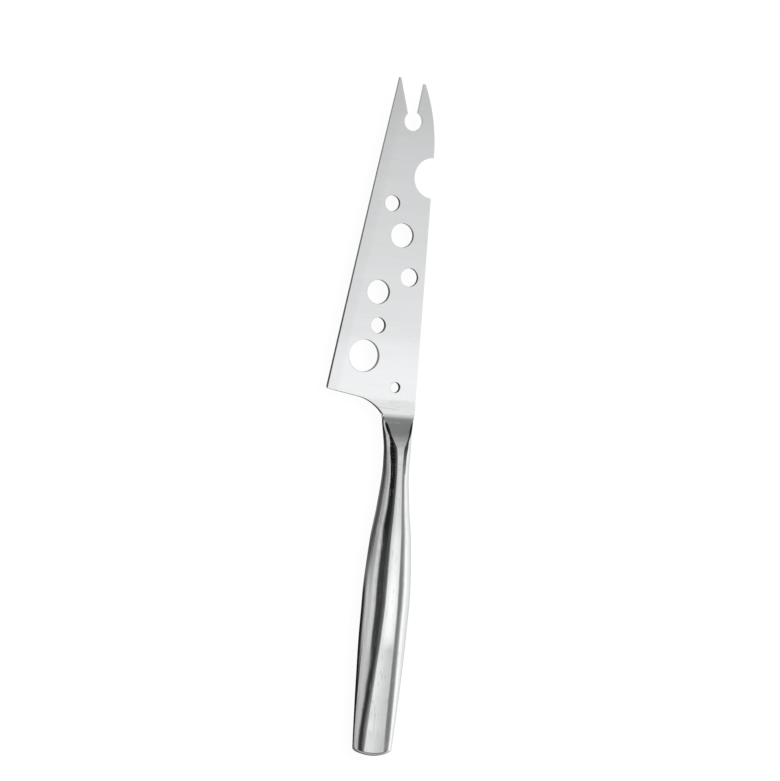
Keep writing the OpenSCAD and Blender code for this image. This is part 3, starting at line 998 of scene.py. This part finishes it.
def addTent():
    first, last = tentStations[0][0], tentStations[-1][0]
    middleX = tent["middleX"] + seat.x

    def spot(u, v):
        angle, y = mix(-tent["reach"], tent["reach"], u), mix(first, last, v)
        a = radians(angle)
        tone, place = tentTone(angle, y)
        tone /= 100
        if place < tent["warmUpTo"]:
            tone = tuple(tone * part for part in tent["warm"])
        point = (middleX + tent["radius"] * sin(a), y, seat.z + tent["radius"] * cos(a))
        return point, tone

    gridSheet("lightTent", tent["steps"], int((last - first) / tent["lengthStep"]), spot)


# A small bright card just over the blade, darker towards the prongs and over the cutting edge
bladeCard = {
    "height": 14.0, "pastEdge": 5.0, "right": 50.0, "columns": 44, "gather": 1.5,
    "lengthStep": 2.5, "start": 7.5, "end": 170.0,
    "tones": [(7, 1.02), (15, 1.0), (25, 0.965), (30, 0.93), (35, 0.865), (45, 0.84), (60, 0.81),
              (74, 0.765), (94, 0.733), (114, 0.678), (129, 0.606), (170, 0.58)],
    "edgeTone": 0.95, "edgeFrom": 6.5, "edgeTo": 9.5,
}


# Where the cutting edge is, in mm of the frame
def edgeAt(y):
    return edgeX(min(y - seat.y, blade["point"])) + seat.x


def addBladeCard():
    card = bladeCard

    def spot(u, v):
        y = mix(card["start"], card["end"], v)
        edge = edgeAt(y)
        x = mix(edge - card["pastEdge"], card["right"], u ** card["gather"])
        near = smooth(x - edge, card["edgeFrom"], card["edgeTo"])
        tone = between(card["tones"], y) * mix(card["edgeTone"], 1.0, near)
        return (x, y, seat.z + card["height"]), tone

    rows = int((card["end"] - card["start"]) / card["lengthStep"])
    gridSheet("bladeCard", card["columns"], rows, spot)


# Painted shadow and light on the paper close to the knife, seen only in the steel's gloss: tones in
# hundredths on both sides of the handle, by the distance from it and at stations along it. Next to
# the handle they are painted shadow; farther out painted light, dimmer on the left and brighter
# than the paper on the right.
handleShade = {
    "distances": [-12.0, 0.0, 4.0, 8.0, 14.0, 26.0, 55.0, 160.0, 420.0],
    "left": [
        (-300, [1, 1, 1, 1, 1.5, 2, 5, 6, 6]),
        (-113, [1, 1, 1, 1, 1.5, 2, 6, 10, 10]),
        (-94, [1, 1, 1, 2, 10, 46, 56, 65, 65]),
        (-84, [1, 1, 1.5, 2, 20, 52, 65, 72, 72]),
        (-74, [1, 2, 2, 5, 28, 60, 69, 70, 70]),
        (-64, [1, 20, 18, 18, 30, 44, 55, 60, 60]),
        (-54, [1, 10, 10, 9, 14, 23, 30, 38, 40]),
        (-44, [1, 30, 20, 7, 10, 12.5, 16, 22, 25]),
        (-34, [1, 24, 18, 8, 9.5, 15.5, 22, 27, 28]),
        (-24, [1, 20, 15, 5.5, 8.5, 17, 25, 36, 36]),
        (-12, [1, 6, 6, 3, 1, 6, 16, 35, 38]),
        (-1, [1, 1, 1, 1, 1, 4, 12, 30, 38]),
    ],
    "right": [(-300, [1, 10, 40, 60, 80, 95, 105, 110, 110]),
              (-1, [1, 10, 40, 70, 85, 100, 105, 110, 110])],
    "steps": 130, "start": -170.0, "end": -1.0, "lift": 0.02,
}
# The shade under the blade: lighter inside each hole, by the hole's radius, and at the prongs
bladeShade = {
    "step": 1.2, "margin": 12.0, "dark": 0.012, "forkTone": 0.60, "forkFrom": 250.0,
    "forkTo": 262.0, "fadeFrom": 3.2, "fadeTo": 6.0, "open": 1.0, "lift": 0.04, "holeFade": 1.0,
    "holeTones": [(2.2, 0.012), (3.3, 0.045), (3.85, 0.07), (5.0, 0.12), (6.7, 0.22),
                  (8.5, 0.30)],
}


# Each side's sheet paints shadow next to the handle and light farther out, for the gloss alone
def addHandleShade():
    shade = handleShade
    for side, sign in (("left", -1.0), ("right", 1.0)):
        rows, tones = [], []
        for i in range(shade["steps"] + 1):
            y = mix(shade["start"], shade["end"], i / shade["steps"])
            place = clamp(y - seat.y, 0.0, handle["top"])
            edge = -along(4, place) + sign * along(1, place) / 2 + seat.x
            rows.append([(edge + sign * d, y, shade["lift"]) for d in shade["distances"]])
            tones.append([tone / 100 for tone in between(shade[side], y)])
        glossSheet("handleShade" + side.title(), rows, tones)


def outlineDistance(x, y, loop):
    best, inside = 1e9, False
    for (ax, ay), (bx, by) in zip(loop, loop[1:] + loop[:1]):
        dx, dy = bx - ax, by - ay
        t = clamp(((x - ax) * dx + (y - ay) * dy) / (dx * dx + dy * dy))
        best = min(best, hypot(x - ax - t * dx, y - ay - t * dy))
        if (ay > y) != (by > y) and x < ax + (y - ay) * dx / dy:
            inside = not inside
    return -best if inside else best


def addBladeShade():
    shade = bladeShade
    margin, step = shade["margin"], shade["step"]
    loop, holes = bladeOutline()[0], bladeHoles()
    left, right = -blade["width"] - margin, margin
    low, high = blade["heel"] - margin, blade["point"] + margin

    def spot(u, v):
        x, y = mix(left, right, u), mix(low, high, v)
        fork = smooth(y, shade["forkFrom"], shade["forkTo"])
        dark = mix(shade["dark"], shade["forkTone"], fork)
        away = outlineDistance(x, y, loop)
        tone = mix(dark, shade["open"], smooth(away, shade["fadeFrom"], shade["fadeTo"]))
        for holeX, holeY, r, _ in holes:
            inner = 1 - smooth(hypot(x - holeX, y - holeY), r - shade["holeFade"], r)
            tone = max(tone, between(shade["holeTones"], r) * inner)
        return (x + seat.x, y + seat.y, shade["lift"]), tone

    gridSheet("bladeShade", int((right - left) / step), int((high - low) / step), spot)


# Black cards on both sides of the neck, so that its shoulders look dark against the polished
# facet: place across, and rows of place along, lower edge, upper edge and tone.
neckCards = {
    "left": (-26.0, [(-26, 41, 93, 0.01), (-15, 30, 93, 0.01), (-6, 22, 90, 0.01),
                     (2, 19, 88, 0.01), (16, 18, 88, 0.01)]),
    "right": (30.0, [(-22, 15.5, 26, 0.30), (-14, 15, 30, 0.12), (-9, 10, 44, 0.04),
                     (-6, 0.1, 44, 0.02), (-0.8, 0.1, 44, 0.02)]),
}
# Tones at the floor and at the top of the sheets that close the tent
tentEnds = {"low": (0.30, 0.65), "high": (0.45, 0.65), "lift": 1.0}
# The paper past the butt: painted shade, seen only in the steel's gloss, with tones by the distance
# from it
buttShade = {"left": -25.0, "right": 35.0, "start": -140.2, "lift": 0.06,
             "tones": [(0, 0.02), (15, 0.05), (40, 0.12), (80, 0.25)]}
# A dark strip standing along the cutting edge, so that the edge reads as a line
edgeCard = {"away": 80.0, "foot": 0.5, "height": 110.0, "start": 4.0, "end": 170.0, "steps": 34,
            "tones": [(4, 0.03), (60, 0.06), (110, 0.20), (170, 0.30)]}


def addNeckCards():
    for side, (x, rows) in neckCards.items():
        stripSheet("neckCard" + side.title(),
                   [((x, y, low), (x, y, high), tone) for y, low, high, tone in rows])


def addTentEnds():
    reach = tent["radius"]
    for label, (y, *_) in (("low", tentStations[0]), ("high", tentStations[-1])):
        stripSheet("tentEnd" + label.title(), [
            ((-reach, y, z), (reach, y, z), tone)
            for z, tone in zip((tentEnds["lift"], reach), tentEnds[label])])


def addButtShade():
    shade = buttShade
    rows = []
    for away, tone in shade["tones"]:
        y = shade["start"] - away
        rows.append(((shade["left"], y, shade["lift"]), (shade["right"], y, shade["lift"]), tone))
    stripSheet("buttShade", rows)


def addEdgeCard():
    card = edgeCard
    rows = []
    for i in range(card["steps"] + 1):
        y = mix(card["start"], card["end"], i / card["steps"])
        x = edgeAt(y) - card["away"]
        rows.append(((x, y, card["foot"]), (x, y, card["height"]), between(card["tones"], y)))
    stripSheet("edgeCard", rows)


def addWorld():
    world = bpy.data.worlds.new("paleRoom")
    scene.world = world
    world.use_nodes = True
    world.node_tree.nodes.clear()
    graph = Graph(world.node_tree)
    seen = isSeen(graph)
    strength = seen + (1 - seen) * studio["fill"]
    room = graph.link("ShaderNodeBackground", {"Color": white, "Strength": strength})
    graph.node("ShaderNodeOutputWorld", {0: room})


def addLamp():
    light = bpy.data.lights.new("softLamp", "AREA")
    light.shape = "SQUARE"
    light.size = studio["lampSize"]
    light.energy = studio["lamp"]
    lamp = newObject("softLamp", light)
    aim = Vector(studio["lampAt"])
    lamp.matrix_world = Matrix.Translation(aim) @ aim.to_track_quat("Z", "Y").to_matrix().to_4x4()
    lamp.visible_glossy = False


addCamera()
addFloor()
addTent()
addBladeCard()
addHandleShade()
addBladeShade()
addEdgeCard()
addNeckCards()
addButtShade()
addTentEnds()
addWorld()
addLamp()
scene.view_settings.view_transform = "Standard"
print("stage: camera, floor and light")
